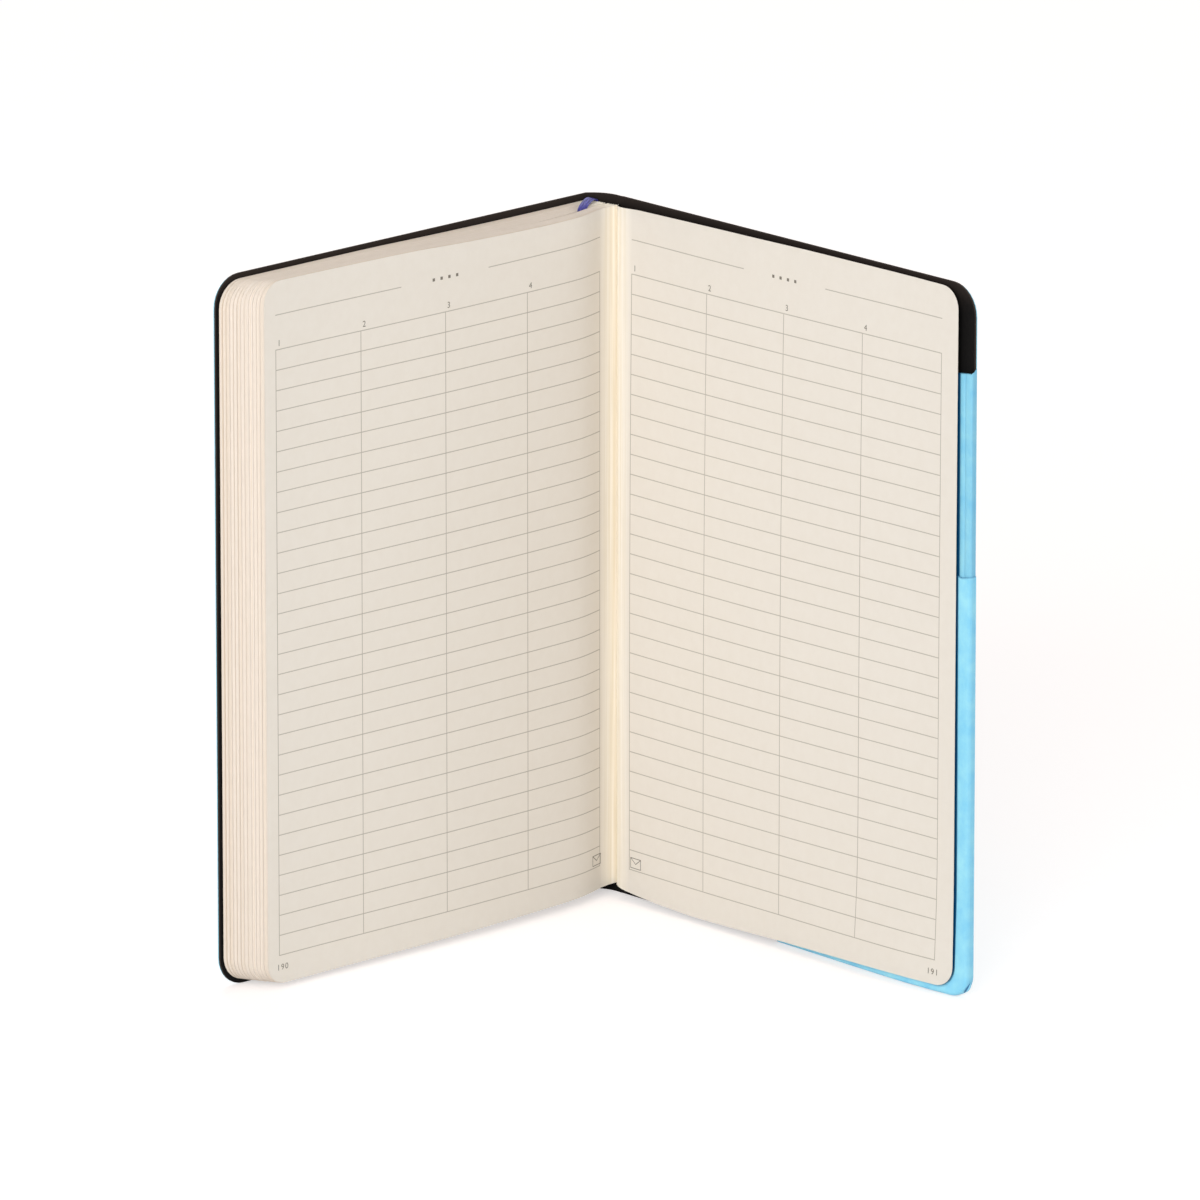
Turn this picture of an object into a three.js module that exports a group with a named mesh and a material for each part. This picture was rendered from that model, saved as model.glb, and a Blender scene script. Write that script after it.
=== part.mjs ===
// A pocket-backed soft cover notebook, standing open on its foot in a V at its last spread.
// Millimetres, +Z up along the spine. The plan is drawn with the front hinge at x = 0, y = 0:
// the front cover runs along -X, the back cover along -Y, and the pages lie between them.
import * as THREE from "three";

// Covers
const COVER_HEIGHT = 210;
const COVER_WIDTH = 145;
const COVER_CORNER = 9;
const SKIN_THICK = 0.5;
const CARD_THICK = 0.35;
const LINING_THICK = 0.25;
const EDGE_TURN_IN = 0.6;

// Spine
const SPINE_WIDTH = 11.6;
const SPINE_TURN = 67;
const SPINE_CROWN = 1.3;
const SPINE_LINING_THICK = 0.5;
const HINGE_GAP = 0.75;
const GAUZE_THICK = 0.3;
const GAUZE_OVERLAP = 12;

// Text block
const FORE_EDGE_RECESS = 3;
const HEAD_RECESS = 1.2;
const FOOT_RECESS = 1.8;
const PAGE_WIDTH = COVER_WIDTH - FORE_EDGE_RECESS;
const PAGE_HEIGHT = COVER_HEIGHT - HEAD_RECESS - FOOT_RECESS;
const PAGE_CORNER = 7;
const SIGNATURES = 12;
const SIGNATURE_GAP = 0.05;
const LEAF_THICK = 0.16;
const LEAF_GAP = 0.06;
const BLOCK_LIFT = 0.35;
const BLOCK_INSET_FRONT = 0.45;
const BLOCK_INSET_BACK = 1.4;
const ENDPAPER_STEP = 0.45;

// How far the top page stands off the front cover, at distances out from the binding; the last one
// lies a little past the fore-edge, so that the curve is longer than any leaf.
const PAGE_RUN_OUT = 8;
const PAGE_RISE = [
  [3, 8.7], [7, 9.1], [12, 10.5], [18, 11.7], [28, 12.3],
  [45, 12.6], [72, 12.6], [100, 11.9], [124, 11.3], [PAGE_WIDTH + PAGE_RUN_OUT, 11.1],
];
// How far the last leaf stands off the back cover, at distances down the cover from the hinge. The
// black flyleaf lies close behind it.
const LEAF_RUN_OUT = 13;
const LEAF_RISE = [
  [1.1, 3.0], [3.5, 4.2], [8, 4.5], [20, 4.7], [42, 4.9], [70, 4.6], [100, 3.6], [128, 2.6],
  [PAGE_WIDTH + LEAF_RUN_OUT, 2.3],
];
const FLYLEAF_THICK = 0.18;

// Sewing thread and ribbon
const THREAD_WIDTH = 0.5;
const THREAD_DEPTH = 0.25;
const THREAD_STATIONS = 5;
const THREAD_END_INSET = 12;
const RIBBON_WIDTH = 4;
const RIBBON_THICK = 0.22;
const RIBBON_ALONG = 3.6;
const RIBBON_SLOT = 8;
const RIBBON_SLOT_GAP = 0.6;
const RIBBON_IN = 10.7;
const RIBBON_REACH = 0.72;
const RIBBON_GLUED = 25;
const RIBBON_RISE = 1.05;
const SLOT_OPEN_TO = 15;
const SLOT_CLOSED_FROM = 45;

// Document pocket inside the back cover
const POCKET_START = 67;
const POCKET_INSET = 0.3;
const POCKET_BACK_HEIGHT = 185;
const POCKET_FRONT_HEIGHT = 125;
const POCKET_BACK_THICK = 0.35;
const POCKET_GUSSET_THICK = 1.1;
const POCKET_GUSSET_WIDTH = 10;
const POCKET_FRONT_THICK = 0.4;

// Finishes: none of the pieces is metal
const COATED_SKIN = { color: "#8fd3ee", roughness: 0.55 };
const BLACK_ENDPAPER = { color: "#1c1815", roughness: 0.8 };
const GREY_CARD = { color: "#8d8a84", roughness: 0.9 };
const PAGE_PAPER = { color: "#e8dfd0", roughness: 0.9 };
const CUT_PAGES = { color: "#e3d3bf", roughness: 0.9 };
const POCKET_PAPER = { color: "#8bd4f2", roughness: 0.6 };
const RIBBON_SATIN = { color: "#423f72", roughness: 0.4 };
const GAUZE = { color: "#e9e6dc", roughness: 0.95 };
const WAXED_THREAD = { color: "#efece2", roughness: 0.7 };

const CORNER_STEPS = 6;
const COVER_THICK = SKIN_THICK + CARD_THICK + LINING_THICK;
const PAGE_TOP = FOOT_RECESS + PAGE_HEIGHT;

// Directions in the plan: along the spine from front hinge to back hinge, and from it into the pages
const spineAngle = THREE.MathUtils.degToRad(SPINE_TURN);
const alongSpine = new THREE.Vector2(Math.cos(spineAngle), -Math.sin(spineAngle));
const intoPages = new THREE.Vector2(alongSpine.y, -alongSpine.x);
const backHinge = alongSpine.clone().multiplyScalar(SPINE_WIDTH);

const onSpine = (along, inward) =>
  alongSpine.clone().multiplyScalar(along).addScaledVector(intoPages, inward);
const onFrontCover = (out, inward) => new THREE.Vector2(-out, -inward);
const onBackCover = (out, inward) => new THREE.Vector2(backHinge.x - inward, backHinge.y - out);

// One closed solid lofted through rings of points: each ring has the same number of points.
function loft(rings) {
  const points = rings.flat();
  const sides = rings[0].length;
  const index = [];
  for (let ring = 0; ring < rings.length - 1; ring++) {
    for (let side = 0; side < sides; side++) {
      const a = ring * sides + side;
      const b = ring * sides + ((side + 1) % sides);
      index.push(a, b, b + sides, a, b + sides, a + sides);
    }
  }
  const last = (rings.length - 1) * sides;
  for (let side = 1; side < sides - 1; side++) {
    index.push(0, side + 1, side);
    index.push(last, last + side, last + side + 1);
  }
  const volume = (i) => points[index[i]].dot(
    new THREE.Vector3().crossVectors(points[index[i + 1]], points[index[i + 2]]));
  let total = 0;
  for (let i = 0; i < index.length; i += 3) total += volume(i);
  if (total < 0) index.reverse();
  const geometry = new THREE.BufferGeometry().setFromPoints(points).setIndex(index);
  geometry.computeVertexNormals();
  return geometry;
}

// A sheet or stack standing on edge between two plan lines, with a foot and a head height at each step.
function standingSheet(inner, outer, foot, head) {
  return loft(inner.map((point, i) => [
    new THREE.Vector3(point.x, point.y, foot[i]),
    new THREE.Vector3(outer[i].x, outer[i].y, foot[i]),
    new THREE.Vector3(outer[i].x, outer[i].y, head[i]),
    new THREE.Vector3(point.x, point.y, head[i]),
  ]));
}

// Distances along a sheet that ends in a rounded corner, and how far the corner cuts in at each.
function roundedSteps(start, end, corner, evenSteps) {
  const steps = [];
  for (let i = 0; i < evenSteps; i++) {
    steps.push({ at: THREE.MathUtils.lerp(start, end - corner, i / evenSteps), cut: 0 });
  }
  for (let i = 0; i <= CORNER_STEPS; i++) {
    const angle = (Math.PI / 2) * (i / CORNER_STEPS);
    steps.push({ at: end - corner * (1 - Math.sin(angle)), cut: corner * (1 - Math.cos(angle)) });
  }
  return steps;
}

// A flat layer of a cover or pocket: place(out, inward) says which cover it lies on.
function flatLayer(place, near, far, from, to, foot, head, corners) {
  const steps = roundedSteps(from, to, Math.max(corners.foot, corners.head), 1);
  const share = (size) => size / Math.max(corners.foot, corners.head);
  return standingSheet(
    steps.map((s) => place(s.at, near)),
    steps.map((s) => place(s.at, far)),
    steps.map((s) => foot + s.cut * share(corners.foot)),
    steps.map((s) => head - s.cut * share(corners.head)),
  );
}

function mesh(name, geometry, finish) {
  const material = new THREE.MeshStandardMaterial({ ...finish, metalness: 0, flatShading: true });
  const made = new THREE.Mesh(geometry, material);
  made.name = name;
  return made;
}

// Each cover is an outer skin, a flexible card and a black lining, face to face.
const innerFace = COVER_THICK / 2;
const liningBack = innerFace - LINING_THICK;
const cardBack = liningBack - CARD_THICK;

function makeCover(name, place) {
  const group = new THREE.Group();
  const layer = (near, far, inset) => {
    const corners = { foot: COVER_CORNER - inset, head: COVER_CORNER - inset };
    return flatLayer(place, near, far, HINGE_GAP, COVER_WIDTH - inset, inset, COVER_HEIGHT - inset, corners);
  };
  group.add(
    mesh(name + "_skin", layer(-innerFace, cardBack, 0), COATED_SKIN),
    mesh(name + "_card", layer(cardBack, liningBack, EDGE_TURN_IN), GREY_CARD),
    mesh(name + "_lining", layer(liningBack, innerFace, 0), BLACK_ENDPAPER),
  );
  return group;
}

// The spine strip: outer skin and lining, both bowed outwards, then the gauze on the block's back.
const SPINE_STEPS = 8;
function bowedLine(inward) {
  return Array.from({ length: SPINE_STEPS + 1 }, (_, i) => {
    const share = i / SPINE_STEPS;
    const along = THREE.MathUtils.lerp(HINGE_GAP, SPINE_WIDTH - HINGE_GAP, share);
    return onSpine(along, inward - SPINE_CROWN * 4 * share * (1 - share));
  });
}

function spineStrip(near, far) {
  const level = (height) => Array(SPINE_STEPS + 1).fill(height);
  return standingSheet(bowedLine(near), bowedLine(far), level(0), level(COVER_HEIGHT));
}

const spine = new THREE.Group();
spine.add(
  mesh("spine_skin", spineStrip(-SKIN_THICK, 0), COATED_SKIN),
  mesh("spine_lining", spineStrip(0, SPINE_LINING_THICK), BLACK_ENDPAPER),
);

// The block's back lies on the gauze, and the gauze on the bowed lining's two edges.
const gauzeBack = SPINE_LINING_THICK + LEAF_GAP;
const gauzeFrom = BLOCK_INSET_FRONT + LEAF_GAP;
const gauzeTo = SPINE_WIDTH - BLOCK_INSET_BACK;
const blockBack = gauzeBack + GAUZE_THICK + THREAD_DEPTH + LEAF_GAP;
const flat = (inward, from = gauzeFrom, to = gauzeTo) => [onSpine(from, inward), onSpine(to, inward)];
const pair = (value) => [value, value];
spine.add(mesh(
  "spine_gauze",
  standingSheet(
    flat(gauzeBack),
    flat(gauzeBack + GAUZE_THICK),
    pair(FOOT_RECESS + GAUZE_OVERLAP),
    pair(PAGE_TOP - GAUZE_OVERLAP),
  ),
  GAUZE,
));

// Sewing thread: a flat run across the backs of the signatures at each sewing station.
const threadFrom = gauzeFrom + THREAD_WIDTH;
const threadTo = gauzeTo - THREAD_WIDTH;
const threadBack = gauzeBack + GAUZE_THICK;
const stationStep = (PAGE_HEIGHT - 2 * THREAD_END_INSET) / (THREAD_STATIONS - 1);
for (let i = 0; i < THREAD_STATIONS; i++) {
  const height = FOOT_RECESS + THREAD_END_INSET + i * stationStep;
  spine.add(mesh(
    "sewing_thread_" + (i + 1),
    standingSheet(
      flat(threadBack, threadFrom, threadTo),
      flat(threadBack + THREAD_DEPTH, threadFrom, threadTo),
      pair(height - THREAD_WIDTH / 2),
      pair(height + THREAD_WIDTH / 2),
    ),
    WAXED_THREAD,
  ));
}

// Text block: every leaf leaves the gauze, climbs over the swell and runs on along the front cover.
const LEAF_STEPS = 22;
const leafSteps = roundedSteps(0, PAGE_WIDTH, PAGE_CORNER, LEAF_STEPS);
const leafFoot = leafSteps.map((s) => FOOT_RECESS + s.cut);
const leafHead = leafSteps.map((s) => PAGE_TOP - s.cut);

// Points of a plan curve at the leaf's own distances, so every leaf keeps its real width.
function leafPoints(route) {
  const curve = new THREE.SplineCurve(route);
  curve.arcLengthDivisions = 800;
  const length = curve.getLength();
  return leafSteps.map((s) => curve.getPointAt(s.at / length));
}

// The leaf that lies a share of the way up the stack, 0 next to the front cover and 1 on top. By the
// fore-edge, where the ribbon's slot has closed, it may lie at another share.
const stackFoot = innerFace + BLOCK_LIFT;
function stackLeaf(share, extra = 0, closedShare = share) {
  const along = THREE.MathUtils.lerp(BLOCK_INSET_FRONT, gauzeTo, share);
  const start = onSpine(along, blockBack);
  const route = PAGE_RISE.map(([out, height]) => {
    const closed = THREE.MathUtils.smoothstep(out, SLOT_OPEN_TO, SLOT_CLOSED_FROM);
    const rise = stackFoot + THREE.MathUtils.lerp(share, closedShare, closed) * height + extra;
    return new THREE.Vector2(start.x - out, -rise);
  });
  return leafPoints([start.setY(start.y - extra), ...route]);
}

// One leaf at a share of the stack, between two small distances off it.
function leafSolid(share, extraFrom, extraTo) {
  return standingSheet(stackLeaf(share, extraFrom), stackLeaf(share, extraTo), leafFoot, leafHead);
}

const block = new THREE.Group();
const stackThick = PAGE_RISE[PAGE_RISE.length - 1][1];
const slotShare = RIBBON_SLOT_GAP / stackThick;
const gapShare = SIGNATURE_GAP / stackThick;
const signatureShare = (1 - slotShare) / SIGNATURES;
for (let i = 0; i < SIGNATURES; i++) {
  const slot = i >= RIBBON_SLOT ? slotShare : 0;
  const under = stackLeaf(i * signatureShare + slot + gapShare, 0, i / SIGNATURES + gapShare);
  const top = stackLeaf((i + 1) * signatureShare + slot, 0, (i + 1) / SIGNATURES);
  const name = "signature_" + String(i + 1).padStart(2, "0");
  block.add(mesh(name, standingSheet(under, top, leafFoot, leafHead), CUT_PAGES));
}

// Front flyleaf, between the lining and the first signature.
const flyleafNear = -BLOCK_LIFT + LEAF_GAP;
block.add(mesh(
  "front_flyleaf",
  leafSolid(0, flyleafNear, flyleafNear + FLYLEAF_THICK),
  BLACK_ENDPAPER,
));

// Ribbon marker: glued behind the block's back, it turns over the head and goes down between two
// signatures. Its two edges run side by side, spread along the spine first and along the page last.
const RIBBON_STEPS = 10;
const slotMiddle = RIBBON_SLOT * signatureShare + slotShare / 2;
const slotLeaf = new THREE.SplineCurve(stackLeaf(slotMiddle));
const ribbonBack = gauzeBack - LEAF_GAP - RIBBON_THICK / 2;

function ribbonEdge(side) {
  const half = (side * RIBBON_WIDTH) / 2;
  const glued = onSpine(RIBBON_ALONG + half, ribbonBack);
  const slot = slotLeaf.getPointAt((RIBBON_IN - half) / slotLeaf.getLength());
  const points = [new THREE.Vector3(glued.x, glued.y, PAGE_TOP - RIBBON_GLUED)];
  for (let i = 0; i <= RIBBON_STEPS; i++) {
    const share = i / RIBBON_STEPS;
    const spot = glued.clone().lerp(slot, share);
    points.push(new THREE.Vector3(spot.x, spot.y, PAGE_TOP + RIBBON_RISE * Math.sin(Math.PI * share)));
  }
  points.push(new THREE.Vector3(slot.x, slot.y, PAGE_TOP - RIBBON_REACH * PAGE_HEIGHT));
  return points;
}

function ribbonSolid() {
  const left = ribbonEdge(-1);
  const right = ribbonEdge(1);
  const middleAt = (i) => left[i].clone().lerp(right[i], 1 / 2);
  const rings = left.map((a, i) => {
    const b = right[i];
    const before = middleAt(Math.max(i - 1, 0));
    const after = middleAt(Math.min(i + 1, left.length - 1));
    const half = new THREE.Vector3()
      .crossVectors(after.sub(before), b.clone().sub(a))
      .setLength(RIBBON_THICK / 2);
    return [a.clone().sub(half), b.clone().sub(half), b.clone().add(half), a.clone().add(half)];
  });
  return loft(rings);
}
block.add(mesh("ribbon_marker", ribbonSolid(), RIBBON_SATIN));

// The turning leaves: the top one of the left pages, and the last one with the black flyleaf behind it.
const turning = new THREE.Group();
turning.add(mesh("leaf_189_190", leafSolid(1, LEAF_GAP, LEAF_GAP + LEAF_THICK), PAGE_PAPER));

function coverLeaf(step, extra) {
  const start = onSpine(gauzeTo + step, blockBack);
  const route = LEAF_RISE.map(([out, rise]) => onBackCover(out, innerFace + rise + extra));
  return leafPoints([start.setX(start.x - extra), ...route]);
}

function coverLeafSolid(step, from, to) {
  return standingSheet(coverLeaf(step, from), coverLeaf(step, to), leafFoot, leafHead);
}
turning.add(
  mesh("leaf_191_192", coverLeafSolid(ENDPAPER_STEP, 0, LEAF_THICK), PAGE_PAPER),
  mesh(
    "back_flyleaf",
    coverLeafSolid(2 * ENDPAPER_STEP, -LEAF_GAP - FLYLEAF_THICK, -LEAF_GAP),
    BLACK_ENDPAPER,
  ),
);

// Pocket: a back panel on the lining, folded gussets on three sides, and a shorter front panel.
const pocket = new THREE.Group();
const pocketEdge = COVER_WIDTH - POCKET_INSET;
const pocketCorner = COVER_CORNER - POCKET_INSET;
const gussetNear = innerFace + POCKET_BACK_THICK;
const gussetFar = gussetNear + POCKET_GUSSET_THICK;
const outerGusset = pocketEdge - POCKET_GUSSET_WIDTH;
const innerGusset = POCKET_START + POCKET_GUSSET_WIDTH;
const outerCorners = { foot: pocketCorner, head: 0 };

function pocketLayer(name, near, far, from, to, head, corners) {
  const geometry = corners
    ? flatLayer(onBackCover, near, far, from, to, POCKET_INSET, head, corners)
    : standingSheet(
      [onBackCover(from, near), onBackCover(to, near)],
      [onBackCover(from, far), onBackCover(to, far)],
      pair(POCKET_INSET),
      pair(head),
    );
  pocket.add(mesh(name, geometry, POCKET_PAPER));
}

function pocketSheet(name, near, far, from, head) {
  pocketLayer(name, near, far, from, pocketEdge, head, outerCorners);
}
const gussetFoot = POCKET_INSET + POCKET_GUSSET_WIDTH;
const frontFar = gussetFar + POCKET_FRONT_THICK;
pocketSheet("pocket_back", innerFace, gussetNear, POCKET_START, POCKET_BACK_HEIGHT);
pocketSheet("pocket_outer_gusset", gussetNear, gussetFar, outerGusset, POCKET_BACK_HEIGHT);
pocketLayer("pocket_foot_gusset", gussetNear, gussetFar, innerGusset, outerGusset, gussetFoot);
pocketLayer("pocket_inner_gusset", gussetNear, gussetFar, POCKET_START, innerGusset, POCKET_FRONT_HEIGHT);
pocketSheet("pocket_front", gussetFar, frontFar, POCKET_START, POCKET_FRONT_HEIGHT);

const frontCover = makeCover("front_cover", onFrontCover);
const backCover = makeCover("back_cover", onBackCover);

// The whole notebook stands on z = 0 with the middle of its footprint at the origin.
const notebook = new THREE.Group();
notebook.add(spine, block, turning, frontCover, backCover, pocket);
const box = new THREE.Box3().setFromObject(notebook);
const middle = box.getCenter(new THREE.Vector3());
notebook.position.set(-middle.x, -middle.y, -box.min.z);
export default notebook;
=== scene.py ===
import math

import bpy
import numpy as np
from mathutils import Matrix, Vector


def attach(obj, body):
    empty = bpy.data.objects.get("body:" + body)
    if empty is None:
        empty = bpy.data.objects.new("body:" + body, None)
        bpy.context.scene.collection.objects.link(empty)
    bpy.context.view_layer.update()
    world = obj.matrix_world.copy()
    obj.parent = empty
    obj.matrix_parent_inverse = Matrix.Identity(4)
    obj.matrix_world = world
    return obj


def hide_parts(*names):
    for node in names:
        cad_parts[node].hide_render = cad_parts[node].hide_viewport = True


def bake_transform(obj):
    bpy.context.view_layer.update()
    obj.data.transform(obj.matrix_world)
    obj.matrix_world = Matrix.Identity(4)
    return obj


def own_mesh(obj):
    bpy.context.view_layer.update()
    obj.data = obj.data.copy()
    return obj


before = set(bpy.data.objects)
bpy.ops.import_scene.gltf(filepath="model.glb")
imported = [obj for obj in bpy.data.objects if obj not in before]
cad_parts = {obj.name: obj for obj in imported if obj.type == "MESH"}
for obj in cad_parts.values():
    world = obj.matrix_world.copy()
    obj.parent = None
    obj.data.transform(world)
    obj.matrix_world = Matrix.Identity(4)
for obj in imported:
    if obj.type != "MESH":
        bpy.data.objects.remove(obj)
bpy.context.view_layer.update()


# Camera. It looks a little down on the open notebook from far off, so that its uprights stay almost
# parallel, and stands to the left of the middle of the V.
view_turn, view_rise = math.radians(-43.459), math.radians(15.679)
towards_camera = Vector((
    math.sin(view_turn) * math.cos(view_rise),
    -math.cos(view_turn) * math.cos(view_rise),
    math.sin(view_rise),
))
aimed_at, camera_distance = Vector((-0.00059, -0.00259, 0.11745)), 4.2005
camera = bpy.data.objects.new("camera", bpy.data.cameras.new("camera"))
camera.data.sensor_width, camera.data.lens = 36, 443.99
camera.data.clip_start, camera.data.clip_end = 0.1, 20
camera.location = aimed_at + towards_camera * camera_distance
camera.rotation_mode = "QUATERNION"
camera.rotation_quaternion = towards_camera.to_track_quat("Z", "Y")
bpy.context.scene.collection.objects.link(camera)
bpy.context.scene.camera = camera
bpy.context.scene.view_settings.view_transform = "Standard"


# Studio. A white paper sweep, a big softbox to the left of the camera and a weaker one to its right, with
# the bright room filling in from all sides, so that shadows are faint and soft.
def linear(code):
    """The linear colour of an sRGB hex value."""
    srgb = np.array([int(code[i:i + 2], 16) for i in (1, 3, 5)]) / 255
    return (*np.where(srgb <= 0.04045, srgb / 12.92, ((srgb + 0.055) / 1.055) ** 2.4), 1.0)


def plug(tree, node, inputs):
    """Inputs of a node, each a value, the socket that feeds it or the node whose first output does."""
    for name, value in dict(inputs).items():
        value = value.outputs[0] if isinstance(value, bpy.types.Node) else value
        if isinstance(value, bpy.types.NodeSocket):
            tree.links.new(value, node.inputs[name])
        else:
            node.inputs[name].default_value = value


def add(tree, kind, inputs=(), stops=(), **settings):
    """One shader node of that kind, with its settings, inputs and, on a ramp, (position, colour) stops."""
    node = tree.nodes.new("ShaderNode" + kind)
    for setting, value in settings.items():
        setattr(node, setting, value)
    for _ in stops[2:]:
        node.color_ramp.elements.new(0.5)
    for element, (position, code) in zip(node.color_ramp.elements if stops else (), stops):
        element.position, element.color = position, linear(code)
    plug(tree, node, inputs)
    return node


def finish_of(name):
    """An empty material, its node tree and the Principled shader that its output takes."""
    material = bpy.data.materials.new(name)
    material.use_nodes = True
    tree = material.node_tree
    tree.nodes.clear()
    shader = add(tree, "BsdfPrincipled")
    add(tree, "OutputMaterial", {"Surface": shader})
    return material, tree, shader


def seen_rays(tree):
    """A node that gives 1 for rays from the camera, off shiny things and through clear ones, else 0."""
    rays = add(tree, "LightPath")
    seen = rays.outputs["Is Camera Ray"]
    for way in ("Is Glossy Ray", "Is Transmission Ray"):
        seen = add(tree, "Math", {0: seen, 1: rays.outputs[way]}, operation="MAXIMUM")
    return seen


room = bpy.data.worlds.new("bright_room")
bpy.context.scene.world = room
room.use_nodes = True
room.node_tree.nodes.clear()
room_light, room_seen = 0.43, 1.05
strength = add(room.node_tree, "MapRange", {
    0: seen_rays(room.node_tree), 3: room_light, 4: room_seen})
backdrop = add(room.node_tree, "Background", {
    "Color": linear("#ffffff"), "Strength": strength,
})
add(room.node_tree, "OutputWorld", {"Surface": backdrop})

lamp_aim = Vector((0, 0, 0.1))
for lamp_name, place, power, size in (
    ("left_softbox", (-2.15, -1.25, 0.95), 49, 1.7),
    ("right_softbox", (0.9, -2.3, 0.9), 11.5, 1.7),
    ("top_light", (0.9, 1.0, 2.2), 13, 1.5),
):
    lamp = bpy.data.objects.new(lamp_name, bpy.data.lights.new(lamp_name, "AREA"))
    lamp.data.energy, lamp.data.size = power, size
    lamp.location = place
    lamp.rotation_mode = "QUATERNION"
    lamp.rotation_quaternion = (Vector(place) - lamp_aim).to_track_quat("Z", "Y")
    bpy.context.scene.collection.objects.link(lamp)

sweep_reach, sweep_level = 6, -0.0001
sweep_mesh = bpy.data.meshes.new("paper_sweep")
sweep_mesh.from_pydata([
    (x * sweep_reach, y * sweep_reach, sweep_level) for x, y in ((-1, -1), (1, -1), (1, 1), (-1, 1))
], [], [(0, 1, 2, 3)])
sweep = bpy.data.objects.new("paper_sweep", sweep_mesh)
bpy.context.scene.collection.objects.link(sweep)
# Matt white backdrop paper: where it is looked at, about half of its white doesn't depend on the light, so
# the page stays white and the shadows faint and a touch rosy.
sweep_paper, tree, shader = finish_of("white_backdrop_paper")
seen = seen_rays(tree)
seen_colour = add(tree, "Mix", {
    0: seen, 6: (0.8, 0.8, 0.8, 1), 7: (0.66, 0.63, 0.62, 1)}, data_type="RGBA")
own_white = add(tree, "Math", {0: seen, 1: 0.55}, operation="MULTIPLY")
plug(tree, shader, {
    "Base Color": seen_colour.outputs[2], "Emission Color": (1, 0.97, 0.96, 1),
    "Emission Strength": own_white, "Roughness": 1, "Specular IOR Level": 0})
sweep_mesh.materials.append(sweep_paper)


# Outer skin. One sheet of light blue coated leatherette goes from the front cover round the rounded
# spine to the back cover; its outer edges are rounded over, and it folds at the two hinges.
MM = 0.001
plan_origin = np.array([69.95876, 77.563928]) * MM  # the front hinge, from which the plan is drawn
cover_height, cover_width, cover_corner = 210 * MM, 145 * MM, 9 * MM
spine_width, spine_turn, spine_crown = 11.6 * MM, math.radians(67), 1.3 * MM
skin_thick, card_thick, lining_thick = 0.5 * MM, 0.35 * MM, 0.25 * MM
hinge_gap = 0.75 * MM
along_spine = np.array([math.cos(spine_turn), -math.sin(spine_turn)])
into_pages = np.array([along_spine[1], -along_spine[0]])
back_hinge = along_spine * spine_width
cover_thick = skin_thick + card_thick + lining_thick
inner_face = cover_thick / 2
skin_back = inner_face - skin_thick  # the skin's glued face, out from the middle of the cover


def on_spine(along, inward):
    """Plan points at distances along the spine from the front hinge, and in from it towards the pages."""
    return np.multiply.outer(along, along_spine) + np.multiply.outer(inward, into_pages)


def plan_line(points):
    """A plan line, in the row frame, as its points, the distance along it and its left-hand normals."""
    points = np.asarray(points) + plan_origin
    distance = np.r_[0, np.cumsum(np.linalg.norm(np.diff(points, axis=0), axis=1))]
    slope = np.gradient(points, distance, axis=0)
    slope /= np.linalg.norm(slope, axis=1)[:, None]
    return points, distance, np.column_stack([-slope[:, 1], slope[:, 0]])


def follow(line, at, off=0.0):
    """Plan points at distances along a line, each moved off it to the left: point + off * normal."""
    points, distance, normals = line
    spot, normal = (
        np.stack([np.interp(at, distance, v[:, k]) for k in (0, 1)], -1) for v in (points, normals))
    normal /= np.linalg.norm(normal, axis=-1, keepdims=True)
    return spot + np.asarray(off)[..., None] * normal


def raised(plan, height):
    """Grid of points whose first coordinates are a row of plan and whose last one is each height of it."""
    return np.concatenate([np.repeat(plan[:, None], height.shape[1], 1), height[..., None]], -1)


def standing(line, outline, off, rows):
    """Grid of a sheet on its edge: column i stands at outline's distance i and runs from its low to its
    high height in the given shares, moved off the line by off, one number or one for each column."""
    at, low, high = outline
    plan = follow(line, at, np.broadcast_to(off, at.shape))
    return raised(plan, low[:, None] + (high - low)[:, None] * rows)


def rounded(start, end, corner, low, high, inset, steps, low_round=True, high_round=True, turns=9):
    """Distances, low and high of a sheet whose far corners are quarter circles, its free edges drawn in
    by inset: at = end - corner + (corner - inset) * sin t, cut = corner - (corner - inset) * cos t."""
    turn = np.linspace(0, math.pi / 2, turns)
    at = np.r_[np.asarray(steps), end - corner + (corner - inset) * np.sin(turn)]
    cut = np.r_[np.full(len(steps), inset), corner - (corner - inset) * np.cos(turn)]
    plain = np.full(len(at), inset)
    return at, low + (cut if low_round else plain), high - (cut if high_round else plain)


def stacked(layers, border):
    """Points of grids of which all but the first and last keep only their border, what each grid keeps,
    the border of each as point numbers, and the quads of the two faces."""
    n, m = layers[0].shape[:2]
    index = np.arange(n * m).reshape(n, m)
    keeps = [slice(None)] + [border] * (len(layers) - 2) + [slice(None)]
    points = np.concatenate([g.reshape(-1, 3)[k] for g, k in zip(layers, keeps)])
    last = len(points) - n * m
    rings = [border] + [n * m + k * len(border) + np.arange(len(border)) for k in range(len(layers) - 2)]
    face = np.stack([index[:-1, :-1], index[1:, :-1], index[1:, 1:], index[:-1, 1:]], -1).reshape(-1, 4)
    return points, keeps, rings + [border + last], [face, face[:, ::-1] + last]


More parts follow.
